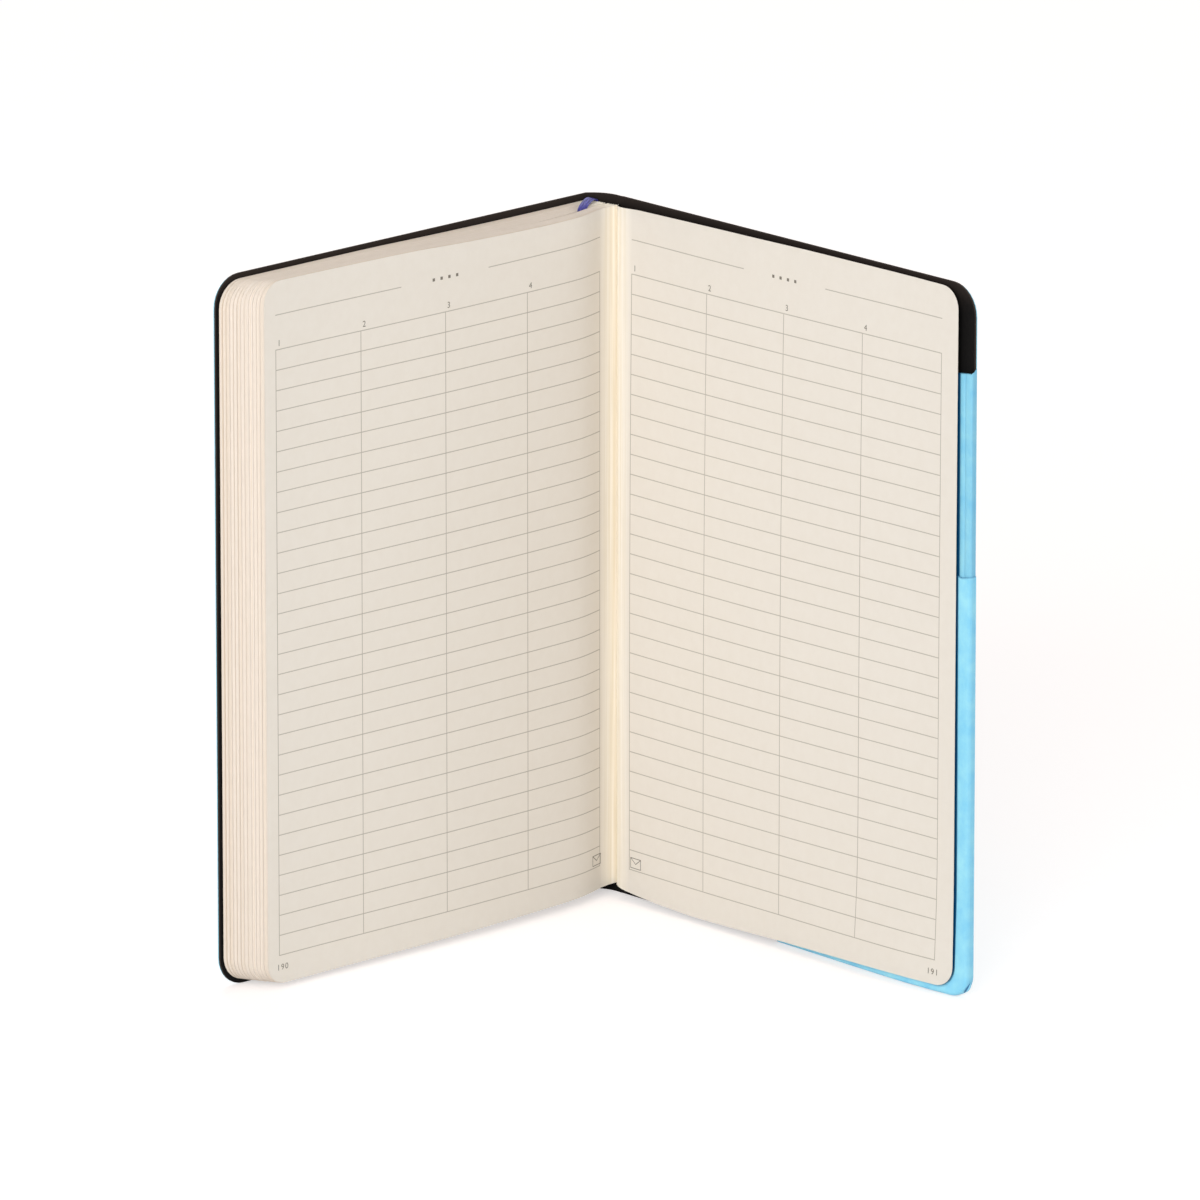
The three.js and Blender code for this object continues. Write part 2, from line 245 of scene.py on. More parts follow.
def slab(layers, page=None, tone=0.5):
    """A closed slab out of grids (n, m, 3): the first and last are its faces, and the borders of all of
    them, joined in order, are its edge. Gives points, quads, page coordinates and the tone of each point,
    which is one for all grids or one for each."""
    n, m = layers[0].shape[:2]
    index = np.arange(n * m).reshape(n, m)
    border = np.concatenate([index[:-1, 0], index[-1, :-1], index[:0:-1, -1], index[0, :0:-1]])
    points, keeps, rings, quads = stacked(layers, border)
    page = np.zeros((n, m, 2)) if page is None else page
    pages = [page.reshape(-1, 2)[k] for k in keeps]
    tones = np.repeat(np.broadcast_to(tone, len(layers)), [len(p) for p in pages])
    for a, b in zip(rings, rings[1:]):
        quads.append(np.stack([np.roll(a, -1), a, b, np.roll(b, -1)], -1))
    quads = np.concatenate(quads)
    a, b, c, d = (points[quads[:, k]] for k in range(4))
    if np.einsum("ij,ij->", a, np.cross(b, c)) + np.einsum("ij,ij->", a, np.cross(c, d)) < 0:
        quads = quads[:, ::-1]
    return points, quads, np.concatenate(pages), tones


def piece(name, slabs, material, sharp=32):
    """One object, at the origin, of one or more slabs, with smooth shading between its sharp edges."""
    starts = np.cumsum([0] + [len(s[0]) for s in slabs])
    points = np.concatenate([s[0] for s in slabs])
    quads = np.concatenate([s[1] + start for s, start in zip(slabs, starts)])
    mesh = bpy.data.meshes.new(name)
    mesh.from_pydata(points, [], quads.tolist())
    corner_points = np.zeros(len(mesh.loops), int)
    mesh.loops.foreach_get("vertex_index", corner_points)
    layer = mesh.uv_layers.new(name="page")
    layer.data.foreach_set("uv", np.concatenate([s[2] for s in slabs])[corner_points].ravel())
    tones = mesh.attributes.new("tone", "FLOAT", "POINT")
    tones.data.foreach_set("value", np.concatenate([s[3] for s in slabs]))
    mesh.shade_smooth()
    mesh.set_sharp_from_angle(angle=math.radians(sharp))
    mesh.materials.append(material)
    made = bpy.data.objects.new(name, mesh)
    bpy.context.scene.collection.objects.link(made)
    return made


def cubic(t, start, end, start_slope, end_slope):
    """Cubic from start to end with given slopes there, at the shares t of the way."""
    return ((2 * t**3 - 3 * t**2 + 1) * start + (t**3 - 2 * t**2 + t) * start_slope
            + (3 * t**2 - 2 * t**3) * end + (t**3 - t**2) * end_slope)


def eased(value, start, end):
    """0 up to start, 1 from end on, and 3 x^2 - 2 x^3 of the share x of the way between them."""
    x = np.clip((value - start) / (end - start), 0, 1)
    return x * x * (3 - 2 * x)


# The skin's glued face in plan, from the middle of the spine out to each cover's edge.
across = np.linspace(hinge_gap, spine_width - hinge_gap, 41)
share = (across - across[0]) / (across[-1] - across[0])
bow = on_spine(across, -spine_crown * 4 * share * (1 - share))
bow_slope = 4 * spine_crown / (across[-1] - across[0])
spine_out = (along_spine - bow_slope * into_pages) / math.hypot(1, bow_slope)
spine_back = (along_spine + bow_slope * into_pages) / math.hypot(1, bow_slope)
fold = 1.5 * MM
front_start = np.array([-hinge_gap, -skin_back])
back_start = back_hinge + np.array([-skin_back, -hinge_gap])
fold_steps = np.linspace(0, 1, 11)[1:-1, None]
front_fold = cubic(fold_steps, bow[0], front_start, -spine_out * fold, np.array([-fold, 0]))
back_fold = cubic(fold_steps, bow[-1], back_start, spine_back * fold, np.array([0, -fold]))
cover_run = np.linspace(0, cover_width - hinge_gap, 40)[:, None]
front_line = plan_line(np.concatenate([
    bow[20::-1], front_fold, front_start + cover_run * np.array([-1, 0])]))
back_line = plan_line(np.concatenate([
    bow[20:], back_fold, back_start + cover_run * np.array([0, -1])]))
cover_end = front_line[1][-1]  # both lines are as long
hinge_at = cover_end - cover_width

# Coated leatherette, embossed with a fine pebble grain and pressed: a satin sheen broken by pebbles
# about 0.5 mm across, a little darker in their valleys. The real grain is nearer 0.2 mm, too fine here.
leatherette, tree, shader = finish_of("light_blue_leatherette")
place = add(tree, "TexCoord").outputs["Object"]
pebbles = add(tree, "TexVoronoi", {
    "Vector": place, "Scale": 1 / (0.55 * MM), "Randomness": 0.9,
}, feature="SMOOTH_F1")
drift = add(tree, "TexNoise", {"Vector": place, "Scale": 1 / (35 * MM), "Detail": 3.0})
tint = add(tree, "ValToRGB", {0: drift}, ((0, "#8ed6ee"), (1, "#9fe1f5")))
between = add(tree, "MapRange", {0: pebbles.outputs["Distance"], 1: 0.25, 2: 0.75, 4: 0.22})
shade = add(tree, "Mix", {0: between, 6: tint, 7: linear("#6dc0df")}, data_type="RGBA")
relief = add(tree, "Bump", {
    "Height": pebbles.outputs["Distance"], "Strength": 0.35, "Distance": 0.05 * MM}, invert=True)
rough = add(tree, "MapRange", {0: drift, 3: 0.42, 4: 0.55})
plug(tree, shader, {
    "Base Color": shade.outputs[2], "Roughness": rough, "Normal": relief,
    "Coat Weight": 0.12, "Coat Roughness": 0.35})

skin_steps = np.r_[
    np.linspace(0, hinge_at - 1.8 * MM, 9), np.linspace(hinge_at - 1.5 * MM, hinge_at + 2.5 * MM, 17),
    np.linspace(hinge_at + 8 * MM, cover_end - cover_corner - 4 * MM, 6)]
head_drop = 0.15 * MM  # the skin stops this far under the lining's rim at the head


def cover_outline(inset, drop=0.0):
    """Outline of half a cover sheet, from the spine's middle, drawn in by inset and lower by drop."""
    return rounded(0, cover_end, cover_corner, 0, cover_height - drop, inset, skin_steps)


edge_round, skin_inset = 0.35 * MM, 0.7 * MM
ends = np.array([0, 0.5, 1.0])
roll = np.linspace(0, math.pi / 2, 5)
# A sheet of a cover bends with it from fold_from on the spine to fold_to beyond the hinge.
fold_from, fold_to = 0.9 * MM, 1.3 * MM
covers = (
    ("front", front_line, -1, on_spine(fold_from, 0), np.array([-fold_to, 0])),
    ("back", back_line, 1, on_spine(spine_width - fold_from, 0), back_hinge + np.array([0, -fold_to])))
for side, line, out, start, end in covers:
    layers = [standing(line, cover_outline(skin_inset, head_drop), out * skin_thick, ends)]
    layers += [
        standing(line, cover_outline(edge_round * (1 - math.sin(t)), head_drop),
                 out * (skin_thick - edge_round * (1 - math.cos(t))), ends) for t in roll]
    layers.append(standing(line, cover_outline(0, head_drop), 0, ends))
    skin = piece(side + "_leatherette_skin", [slab(layers)], leatherette)
    if side == "front":
        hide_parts("front_cover_skin", "spine_skin")
    else:
        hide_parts("back_cover_skin")
    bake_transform(skin)


# Lining. Black endpaper covers the inside from edge to edge, also round the spine, and its own rim
# closes the edge of the card, so that the cover's edge is black inside the blue skin.
black_paper, tree, shader = finish_of("black_endpaper")
place = add(tree, "TexCoord").outputs["Object"]
# Uncoated dyed paper: short felted fibres about 1 mm long and 0.2 mm wide leave it matt, mottled and
# a touch warm, with a paler bloom where it has been rubbed. Low tone makes it lighter and browner: at
# its cut edge, where the paper's core shows, and by the lining's head, where it is painted light from
# above.
fibre = add(tree, "Mapping", {"Vector": place, "Scale": (1, 1, 0.35)})
fibres = add(tree, "TexNoise", {
    "Vector": fibre, "Scale": 1 / (0.5 * MM), "Detail": 4.0, "Distortion": 0.6})
rubbed = add(tree, "TexNoise", {"Vector": place, "Scale": 1 / (22 * MM), "Detail": 3.0})
base = add(tree, "ValToRGB", {0: fibres}, ((0.35, "#080707"), (0.7, "#110f0e")))
bloom = add(tree, "MapRange", {0: rubbed, 1: 0.5, 2: 0.8, 4: 0.25})
shade = add(tree, "Mix", {0: bloom, 6: base, 7: linear("#1a1715")}, data_type="RGBA")
core_and_head_light_tone = add(tree, "Attribute", attribute_name="tone")
paper_core_and_painted_head_light = add(tree, "MapRange", {0: core_and_head_light_tone.outputs["Fac"], 1: 0.5, 2: 0.0})
shade = add(tree, "Mix", {
    0: paper_core_and_painted_head_light, 6: shade.outputs[2], 7: linear("#3a312c")}, data_type="RGBA")
relief = add(tree, "Bump", {"Height": fibres, "Strength": 0.4, "Distance": 0.03 * MM})
plug(tree, shader, {
    "Base Color": shade.outputs[2], "Roughness": 0.82, "Normal": relief,
    "Specular IOR Level": 0.12})

rim = 0.6 * MM
lining_shares = np.array([0, 0.5, 0.965, 0.985, 1.0])
for side, line, out, start, end in covers:
    def lining_layer(inset, deep):
        """Grid at a depth: 0 is the inner face, 1 the back of the sheet and 2 the rim beside the card."""
        outline = cover_outline(inset)
        flat = eased(outline[0], hinge_at - 0.6 * MM, hinge_at + 1 * MM)
        depths = np.stack([0.5 * MM + 0.1 * MM * flat, 0.02 * MM + (card_thick - 0.02 * MM) * flat,
                           0.02 * MM + 0 * flat])
        inward = np.array([np.interp(deep, [0, 1, 2], depths[:, i]) for i in range(len(flat))])
        return standing(line, outline, -out * inward, lining_shares)

    layers = [lining_layer(*v) for v in (
        (0.5 * MM, 0), (0.12 * MM, 0), (0.03 * MM, 0.2), (0, 0.5), (0, 2), (rim, 2), (rim, 1))]
    points, quads, pages, tones = slab(layers, tone=[0.5, 0.5, 0, 0, 0, 0.5, 0.5])
    # Painted light: the top 3% of the lining, by its head, takes low tone and so looks lighter, as if lit
    # from above.
    tones = np.minimum(tones, np.interp(points[:, 2] / cover_height, [0.97, 1], [0.5, 0.22]))
    lining = piece(side + "_black_lining", [(points, quads, pages, tones)], black_paper)
    if side == "front":
        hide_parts("front_cover_lining", "spine_lining")
    else:
        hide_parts("back_cover_lining")
    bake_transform(lining)


# Cover cards. A thin grey board sits between skin and lining in each cover; nothing of it shows.
# Recycled grey board: coarse felted fibres and darker flecks, quite matt.
grey_board, tree, shader = finish_of("grey_card_board")
place = add(tree, "TexCoord").outputs["Object"]
pulp = add(tree, "TexNoise", {
    "Vector": place, "Scale": 1 / (0.9 * MM), "Detail": 5.0, "Distortion": 0.8})
base = add(tree, "ValToRGB", {0: pulp}, ((0.3, "#6f6c67"), (0.65, "#9a968f")))
relief = add(tree, "Bump", {"Height": pulp, "Strength": 0.5, "Distance": 0.05 * MM})
plug(tree, shader, {"Base Color": base, "Roughness": 0.9, "Normal": relief})


def carry_over(names, material):
    """Solids of the CAD model that are kept as they are and take a material."""
    for name in names:
        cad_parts[name].data.materials.clear()
        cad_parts[name].data.materials.append(material)


carry_over(("front_cover_card", "back_cover_card"), grey_board)


# Text block. Twelve signatures of four folded sheets, cut to rounded corners at the fore-edge and
# sewn; the pages climb over the swell by the spine and run on along the front cover.
page_width, page_top, page_foot, page_corner = 142 * MM, 208.8 * MM, 1.8 * MM, 6.2 * MM
block_from, block_to, block_back = 0.45 * MM, 10.2 * MM, 1.17 * MM
stack_foot = 0.9 * MM
page_rise = np.array([
    [3, 8.7], [7, 9.1], [12, 10.5], [18, 11.7], [28, 12.3],
    [45, 12.6], [72, 12.6], [100, 11.9], [124, 11.3], [150, 11.1]]) * MM


def smooth_route(route, steps=24):
    """Catmull-Rom curve through plan points: cubic pieces whose slope at a point is half the step from
    the point before it to the point after it."""
    route = np.asarray(route)
    p = np.concatenate([route[:1], route, route[-1:]])
    t = np.linspace(0, 1, steps, endpoint=False)[:, None, None]
    a, b, c, d = p[:-3], p[1:-2], p[2:-1], p[3:]
    curve = cubic(t, b, c, (c - a) / 2, (d - b) / 2)
    return np.concatenate([curve.swapaxes(0, 1).reshape(-1, 2), route[-1:]])


def stack_route(height_share, inward=block_back, extra=0.0, closed_share=None):
    """Plan line of the leaf that lies a share of the way up the stack, from the spine to the fore-edge;
    from 15 to 45 mm out, where the ribbon's slot closes, it goes over to its closed share."""
    start = on_spine(block_from + (block_to - block_from) * height_share, inward)
    closing = eased(page_rise[:, 0], 15 * MM, 45 * MM)
    closed_share = height_share if closed_share is None else closed_share
    lies_at = height_share + (closed_share - height_share) * closing
    rise = stack_foot + lies_at * page_rise[:, 1] + extra
    route = np.column_stack([start[0] - page_rise[:, 0], -rise])
    return plan_line(smooth_route(np.concatenate([[start - [0, extra]], route])))


leaf_steps = np.r_[np.linspace(0, 30 * MM, 19), np.linspace(36 * MM, page_width - 16 * MM, 11)]
foot_sag = np.array([[0, 1.5], [6, 1.2], [24, 0.9], [66, 0.25], [123, -0.3], [150, -0.4]]) * MM
head_sag = np.array([
    [0, -0.7, -1.3], [18, -0.75, -1.45], [31, -0.75, -1.45], [49, -0.65, -1.1], [65, -0.5, -0.65],
    [84, -0.25, 0.1], [150, -0.3, 0.35]]) * MM


def head_table(share):
    """How much lower the head of the leaf at that share of the stack lies, along the way out: the lowest
    leaf's table and the top leaf's, mixed by the share."""
    return np.column_stack([head_sag[:, 0], head_sag[:, 1] + (head_sag[:, 2] - head_sag[:, 1]) * share])


def leaf_outline(longer=0.0, taller=0.0, corner=page_corner, foot=foot_sag, head=head_table(1)):
    """Outline of a leaf, whose foot and head lie a little higher or lower along the way out."""
    at, low, high = rounded(
        0, page_width + longer, corner, page_foot - taller, page_top + taller, 0, leaf_steps)
    return at, low + np.interp(at, *foot.T), high + np.interp(at, *head.T)


# Uncoated ivory book paper, each page printed with a grey table: matt, with a faint cloudy formation of
# fibre flocks a few mm across. Cut edges (low tone) look warmer than faces (tone 1), and a different
# tone for every sheet draws fine lines down them.
table_from, table_to, table_foot, table_head = 7.4, 135.9, 9.9, 189.0
rows, columns, rule_width = 30, 4, 0.27
page_paper, tree, shader = finish_of("ivory_book_paper")
place = add(tree, "TexCoord").outputs["Object"]
page_place = add(tree, "UVMap", uv_map="page")
in_mm = add(tree, "VectorMath", {0: page_place, "Scale": 1000}, operation="SCALE")
from_corner = add(tree, "VectorMath", {
    0: in_mm, 1: (table_from, table_foot, 0)}, operation="SUBTRACT")
column_width, row_height = (table_to - table_from) / columns, (table_head - table_foot) / rows
rules = add(tree, "TexBrick", {
    "Vector": from_corner, "Scale": 1.0, "Mortar Size": rule_width / 2, "Mortar Smooth": 0.0,
    "Brick Width": column_width, "Row Height": row_height}, offset=0.0)
half_size = np.array([table_to - table_from, table_head - table_foot]) / 2
from_middle = add(tree, "VectorMath", {0: from_corner, 1: (*half_size, 0)}, operation="SUBTRACT")
off_middle = add(tree, "VectorMath", {0: from_middle}, operation="ABSOLUTE")
off_axes = add(tree, "SeparateXYZ", {0: off_middle})
in_width = add(tree, "Math", {
    0: off_axes, 1: half_size[0] + rule_width / 2}, operation="LESS_THAN")
in_height = add(tree, "Math", {
    0: off_axes.outputs[1], 1: half_size[1] + rule_width / 2}, operation="LESS_THAN")
table = add(tree, "Math", {0: rules.outputs["Fac"], 1: in_height}, operation="MULTIPLY")
# The heading's rule runs over the table on both sides of a gap at its middle.
heading_height, half_gap = 199.2, 16.8
page_axes = add(tree, "SeparateXYZ", {0: in_mm})
heading = add(tree, "Math", {
    0: page_axes.outputs[1], 1: heading_height, 2: rule_width / 2}, operation="COMPARE")
beside_gap = add(tree, "Math", {0: off_axes, 1: half_gap}, operation="GREATER_THAN")
heading = add(tree, "Math", {0: heading, 1: beside_gap}, operation="MULTIPLY")
printed = add(tree, "Math", {0: table, 1: heading}, operation="MAXIMUM")
printed = add(tree, "Math", {0: printed, 1: in_width}, operation="MULTIPLY")
flocks = add(tree, "TexNoise", {
    "Vector": place, "Scale": 1 / (3 * MM), "Detail": 4.0, "Roughness": 0.6})
leaf_tone = add(tree, "Attribute", attribute_name="tone")
warm = add(tree, "ValToRGB", {0: leaf_tone.outputs["Fac"]}, (
    (0.0, "#e2d0ba"), (0.25, "#e6d8c9"), (0.5, "#ece0d4"), (1.0, "#e2dbd1")))
cloud = add(tree, "MapRange", {0: flocks, 1: 0.35, 2: 0.7, 4: 0.10})
sheet_tone = add(tree, "Mix", {0: cloud, 6: warm, 7: linear("#cfc3b2")}, data_type="RGBA")
# Within 7 mm of the gutter the paper is painted paler and warmer, with upright streaks about 1 mm wide:
# painted light, for the light that the two pages throw into the gutter.
streak_place = add(tree, "Mapping", {"Vector": in_mm, "Scale": (0.9, 0.012, 1)})
streak = add(tree, "TexNoise", {"Vector": streak_place, "Scale": 1.0, "Detail": 3.0})
# Painted light by the gutter: a paler, warmer colour with upright streaks.
painted_gutter_light = add(tree, "ValToRGB", {0: streak}, ((0.4, "#f3e9d5"), (0.6, "#fff8ec")))
by_gutter = add(tree, "MapRange", {0: page_axes, 1: 7.4, 2: 1.5})
sheet_tone = add(tree, "Mix", {
    0: by_gutter, 6: sheet_tone.outputs[2], 7: painted_gutter_light}, data_type="RGBA")
inked = add(tree, "Mix", {
    0: printed, 6: sheet_tone.outputs[2], 7: linear("#b2aa9f")}, data_type="RGBA")
tooth = add(tree, "TexNoise", {"Vector": place, "Scale": 1 / (0.35 * MM), "Detail": 3.0})
relief = add(tree, "Bump", {"Height": tooth, "Strength": 0.15, "Distance": 0.02 * MM})
plug(tree, shader, {
    "Base Color": inked.outputs[2], "Roughness": 0.9, "Normal": relief,
    "Specular IOR Level": 0.25})

signatures, folded_sheets, ribbon_slot_after = 12, 4, 8
stack_thick = page_rise[-1, 1]
slot_share, gap_share = 0.6 * MM / stack_thick, 0.05 * MM / stack_thick
signature_share = (1 - slot_share) / signatures
variation = np.random.default_rng(190)
lowest_longer = 0.86  # the lowest leaf reaches this many mm further out
fore_edge_slant = 2.76  # and the top leaf ends this many mm short of it, besides the climb
lowest_corner, corner_loss = 8 * MM, 1.6 * MM  # corners are cut less round towards the top
sheet_tones = [0.15, 0.25, 0.35, 0.4, 0.5, 0.5, 0.55]
fold_turns = 5  # points round the fold of a sheet


def folded_sheet(low, high, leaf, depth, tone, closing):
    """One sheet folded in half: its lower leaf at share low, its upper at high, both leaf thick, joined
    at depth behind by a half ellipse round the fold, and both lower by closing where the ribbon's slot
    has closed. Its two faces are plan lines with equal steps."""
    height_share = (low + high) / 2
    longer = (variation.uniform(-0.05, 0.03) + lowest_longer - fore_edge_slant * height_share) * MM
    taller = variation.uniform(-0.03, 0.03) * MM
    at, foot, head = leaf_outline(
        longer, taller, lowest_corner - corner_loss * height_share, head=head_table(height_share))
    opening = (block_to - block_from) * (high - low) / 2
    bulge = min(0.3 * MM, opening * 0.9)
    lines = []
    for a, b in ((low, high), (low + leaf, high - leaf)):
        lower = follow(stack_route(a, depth + bulge, closed_share=a + closing), at)[::-1]
        upper = follow(stack_route(b, depth + bulge, closed_share=b + closing), at)
        turn = np.linspace(0, math.pi, fold_turns + 2)[1:-1]
        reach = bulge if a == low else bulge * max(0.05, 1 - 0.09 * MM / bulge)
        middle = block_from + (block_to - block_from) * (a + b) / 2
        half = (block_to - block_from) * (b - a) / 2
        round_fold = on_spine(middle - half * np.cos(turn), depth + bulge - reach * np.sin(turn))
        lines.append(np.concatenate([lower, round_fold + plan_origin, upper]))
    foot = np.concatenate([foot[::-1], np.full(fold_turns, foot[0]), foot])
    head = np.concatenate([head[::-1], np.full(fold_turns, head[0]), head])
    out = np.concatenate([at[::-1], np.zeros(fold_turns), at])
    heights = np.stack([foot, head], 1)
    return slab([raised(line, heights) for line in lines], raised(out[:, None], heights), tone)


for number in range(signatures):
    from_share = number * signature_share + (slot_share if number >= ribbon_slot_after else 0) + gap_share
    to_share = from_share + signature_share - gap_share
    closing = (number + 0.5) / signatures + gap_share / 2 - (from_share + to_share) / 2
    pitch = (to_share - from_share) / (2 * folded_sheets)
    sheets = []
    for k in range(folded_sheets):
        leaf = pitch * variation.uniform(0.88, 0.96)
        sheets.append(folded_sheet(
            from_share + k * pitch, to_share - k * pitch, leaf, block_back + k * 0.1 * MM,
            variation.choice(sheet_tones), closing))
    signature = piece("signature_%02d_folded_sheets" % (number + 1), sheets, page_paper, sharp=50)
    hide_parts("signature_%02d" % (number + 1))
    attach(signature, "text_block")

# Front flyleaf. The first leaf of the block is black endpaper, between the lining and the pages.
flyleaf_thick, flyleaf_below = 0.14 * MM, 0.29 * MM
flyleaf_lines = [stack_route(0, extra=e) for e in (-flyleaf_below, flyleaf_thick - flyleaf_below)]
flyleaf_grids = [standing(line, leaf_outline(head=head_table(0)), 0, ends) for line in flyleaf_lines]
front_flyleaf = piece("front_black_flyleaf", [slab(flyleaf_grids)], black_paper)
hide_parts("front_flyleaf")
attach(front_flyleaf, "text_block")


# Top left leaf. It is a single loose-looking leaf bound at the gutter, which curves down into the gutter.
leaf_thick, leaf_above = 0.12 * MM, 0.06 * MM


def page_of(outline, rows):
    """Where each point of such a sheet lies on its flat page: how far out, and its height."""
    at, low, high = outline
    return raised(at[:, None], low[:, None] + (high - low)[:, None] * rows)


left_lines = [stack_route(1, extra=e) for e in (leaf_above, leaf_above + leaf_thick)]
left_outline = leaf_outline((lowest_longer - fore_edge_slant) * MM)
left_grids = [standing(line, left_outline, 0, ends) for line in left_lines]
left_leaf = piece("leaf_189_190_ruled", [slab(left_grids, page_of(left_outline, ends), 1.0)], page_paper)
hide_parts("leaf_189_190")
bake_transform(left_leaf)


# Last leaf and the black flyleaf close behind it. Both are bound at the gutter, stand off the back cover
# in a low arch and rest on the pocket, which props up their foot.
leaf_rise = np.array([
    [1.1, 3.0], [3.5, 4.2], [8, 4.5], [20, 4.7], [42, 4.9], [70, 4.6], [100, 3.6], [128, 2.6],
    [155, 2.3]]) * MM
endpaper_step = 0.45 * MM


def cover_leaf(step, extra):
    """Plan line of a leaf at the rise off the back cover's lining, and a little more."""
    start = on_spine(block_to + step, block_back)
    route = np.column_stack([
        back_hinge[0] - (inner_face + leaf_rise[:, 1] + extra), back_hinge[1] - leaf_rise[:, 0]])
    return plan_line(smooth_route(np.concatenate([[start - [extra, 0]], route])))


lining_at = plan_origin + back_hinge - [inner_face, 0]  # where the back cover's lining meets its hinge


def off_lining(points):
    """How many mm points are out along the back cover from its hinge, off its lining, and up."""
    return (lining_at[1] - points[..., 1]) / MM, (lining_at[0] - points[..., 0]) / MM, points[..., 2] / MM


def by_lining(out, off, up):
    """The points at such distances, in metres."""
    return np.stack(np.broadcast_arrays(lining_at[0] - off, lining_at[1] - out, up), -1)


def on_last_leaf(made):
    """A piece that turns with the last leaf, with a mesh of its own."""
    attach(made, "last_leaf")
    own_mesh(made)


def spread(points):
    """Points moved off the back cover by what stands behind them: near the foot the gussets of the pocket
    spread by up to 2 mm, less towards the lining, and the leaves lean back to the lining at the head."""
    out, off, up = off_lining(points)
    bulge = np.interp(out, [67, 101, 120, 132, 141, 145], [0, 1.5, 2.0, 1.3, 0.3, 0])
    bulge = bulge * np.exp(-(up / 22)**2)
    lean = np.interp(out, [0, 10, 74, 115, 142], [0, 1.3, 1.5, 0.9, 0.3])
    climb = np.clip((up - 60) / 148, 0, 1)
    off_by = bulge * np.clip(off / 1.86, 0, 1) - lean * climb**2 * (off > 2)
    return points - np.stack([off_by, 0 * off_by, 0 * off_by], -1) * MM


leaf_shares = np.array([0, 0.02, 0.04, 0.07, 0.11, 0.16, 0.22, 0.3, 0.45, 0.6, 0.75, 0.88, 1.0])
right_sag = np.array([
    [0, 2.2], [4, 1.65], [8, 1.1], [14, 0.6], [22, 0.1], [37, -0.4], [55, -0.15], [70, 0.25], [100, 0.7],
    [120, 0.85], [150, 0.8]]) * MM
right_head = np.array([[0, -1.0], [13, -0.5], [40, 0.05], [82, 0.45], [120, 0.35], [150, 0.1]]) * MM
right_outline = leaf_outline(foot=right_sag, head=right_head)
right_lines = [cover_leaf(endpaper_step, e) for e in (0, leaf_thick)]
right_grids = [spread(standing(line, right_outline, 0, leaf_shares)) for line in right_lines]
# The right page's print stands this far out on it and is this much narrower.
print_shift, print_narrow = 2.775, np.array([0.9763, 1])
right_page = (page_of(right_outline, leaf_shares) - [print_shift * MM, 0]) / print_narrow
right_leaf = piece("leaf_191_192_ruled", [slab(right_grids, right_page, 1.0)], page_paper)
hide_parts("leaf_191_192")
on_last_leaf(right_leaf)

back_fly_lines = [cover_leaf(2 * endpaper_step, e) for e in (-0.22 * MM, -0.08 * MM)]
back_outline = leaf_outline(-0.4 * MM, foot=right_sag + [0, 0.1 * MM], head=right_head - [0, 0.1 * MM])
back_fly_grids = [spread(standing(line, back_outline, 0, leaf_shares)) for line in back_fly_lines]
back_flyleaf = piece("back_black_flyleaf", [slab(back_fly_grids)], black_paper)
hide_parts("back_flyleaf")
on_last_leaf(back_flyleaf)


# Printed marks. Each of the two open pages has its number at the foot, column numbers over the table
# and a small envelope pictogram at the foot of the inner column, printed grey on the paper.
# Grey offset ink on uncoated paper: dull, slightly uneven, with no body of its own.
ink, tree, shader = finish_of("grey_offset_ink")
place = add(tree, "TexCoord").outputs["Object"]
uneven = add(tree, "TexNoise", {"Vector": place, "Scale": 1 / (0.25 * MM)})
base = add(tree, "ValToRGB", {0: uneven}, ((0, "#6f695f"), (1, "#8b847a")))
plug(tree, shader, {"Base Color": base, "Roughness": 0.9, "Specular IOR Level": 0.2})


def figures(words, height):
    """Points (mm) and triangles of a line of figures of that height, from its lower left corner."""
    text = bpy.data.curves.new("figures", "FONT")
    text.body, text.size, text.space_character = words, height / 0.7, 1.25
    holder = bpy.data.objects.new("figures", text)
    bpy.context.scene.collection.objects.link(holder)
    flat = holder.evaluated_get(bpy.context.evaluated_depsgraph_get()).to_mesh()
    flat.calc_loop_triangles()
    points = np.array([v.co[:2] for v in flat.vertices])
    triangles = np.array([t.vertices[:] for t in flat.loop_triangles])
    holder.to_mesh_clear()
    bpy.data.objects.remove(holder)
    return points, triangles


def strokes(segments, width):
    """Points (mm) and triangles of straight strokes of one width: a rectangle along each segment."""
    ends_of = np.array(segments, float)
    step = ends_of[:, 1] - ends_of[:, 0]
    step /= np.linalg.norm(step, axis=1)[:, None]
    side_of = np.stack([-step[:, 1], step[:, 0]], 1) * width / 2
    cap = step * width / 2
    a, b = ends_of[:, 0] - cap, ends_of[:, 1] + cap
    points = np.stack([a - side_of, b - side_of, b + side_of, a + side_of], 1).reshape(-1, 2)
    first = 4 * np.arange(len(ends_of))[:, None]
    return points, np.concatenate([first + [0, 1, 2], first + [0, 2, 3]])


